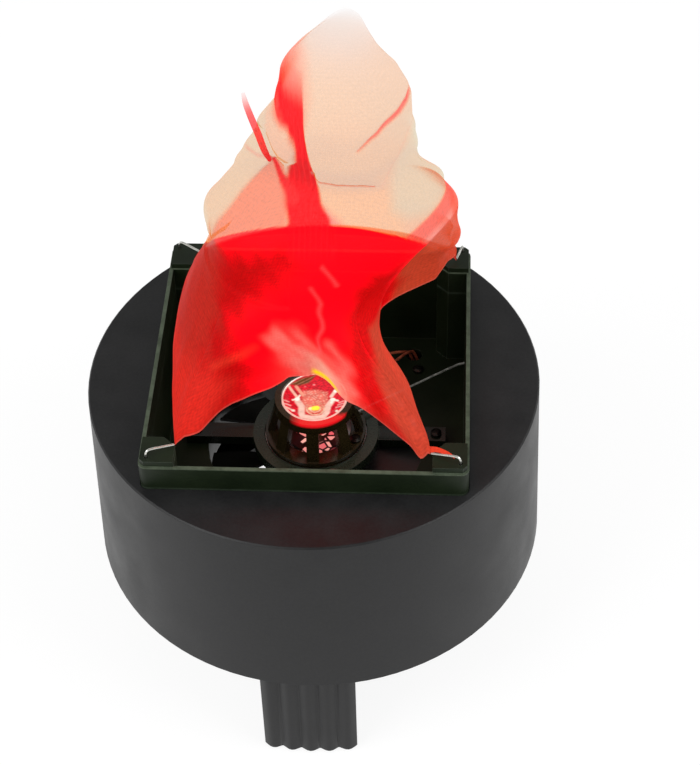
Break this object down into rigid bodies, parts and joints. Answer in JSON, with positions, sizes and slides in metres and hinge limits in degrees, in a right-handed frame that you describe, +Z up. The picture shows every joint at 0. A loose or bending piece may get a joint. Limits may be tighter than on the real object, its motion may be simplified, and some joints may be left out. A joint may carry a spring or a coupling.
{
  "type": "flame effect light",
  "caption": "Tabletop flame effect light: a round fan housing on fluted legs, with a square tray and a blown silk flame lit red from below.",
  "frame": {"origin": "on the floor, under the middle of the round housing", "axes": "+Z up along the housing's axis; -Y is the front, the side with the single leg; +X is to the right seen from the front"},
  "size_m": [0.2372, 0.2372, 0.392],
  "materials": {
    "shell": "fine matt texture",
    "tray": "satin",
    "fan": "satin",
    "cage": "moulded, glossy",
    "steel": "zinc plated",
    "aluminium": "turned",
    "copper": "enamelled copper windings",
    "magnet": "sintered ferrite",
    "board": "solder mask",
    "lens": "clear, lit red from below",
    "emitter": "silicone dome over the chips",
    "rubber": "matt",
    "red_wire": "insulated copper",
    "grey_wire": "insulated",
    "component": "moulded",
    "silk": "thin plain-weave silk, glowing red"
  },
  "bodies": {
    "lamp": {"drum_housing": "shell", "base_plate": "shell", "leg_front": "shell", "leg_rear_right": "shell", "leg_rear_left": "shell", "leg_pad_front": "rubber", "leg_pad_rear_right": "rubber", "leg_pad_rear_left": "rubber", "leg_screw_1": "steel", "leg_screw_2": "steel", "leg_screw_3": "steel", "base_screw_1": "steel", "base_screw_2": "steel", "base_screw_3": "steel", "base_screw_4": "steel", "flame_tray": "tray", "tray_screw_1": "steel", "tray_screw_2": "steel", "tray_screw_3": "steel", "tray_screw_4": "steel", "silk_clip_front_left": "steel", "silk_clip_front_right": "steel", "silk_clip_rear_left": "steel", "silk_clip_rear_right": "steel", "silk_flame": "silk", "fan_frame": "fan", "bearing_lower": "steel", "bearing_upper": "steel", "stator_core": "copper", "fan_screw_1": "steel", "fan_screw_2": "steel", "fan_screw_3": "steel", "fan_screw_4": "steel", "lamp_bracket": "cage", "bracket_screw_1": "steel", "bracket_screw_2": "steel", "bracket_screw_3": "steel", "bracket_screw_4": "steel", "heat_sink": "aluminium", "led_board": "board", "led_emitter": "emitter", "led_lens": "lens", "lens_cage": "cage", "cage_screw_1": "steel", "cage_screw_2": "steel", "led_wire_positive": "red_wire", "led_wire_negative": "red_wire", "led_wire_sensor": "grey_wire", "driver_board": "board", "driver_transformer": "component", "driver_capacitor": "component", "driver_screw_1": "steel", "driver_screw_2": "steel", "power_inlet": "cage", "switch_body": "cage", "switch_pin": "steel"},
    "fan": {"fan_rotor": "fan", "fan_shaft": "steel", "magnet_ring": "magnet"},
    "rocker": {"switch_rocker": "cage"}
  },
  "joints": [
    {"name": "fan_spin", "type": "hinge", "parent": "lamp", "child": "fan", "pos_m": [0, 0, 0.106], "axis": [0, 0, 1], "continuous": true},
    {"name": "switch_rock", "type": "hinge", "parent": "lamp", "child": "rocker", "pos_m": [0.014, 0.10728, 0.0865], "axis": [1, 0, 0], "range_deg": [-20, 0]}
  ]
}
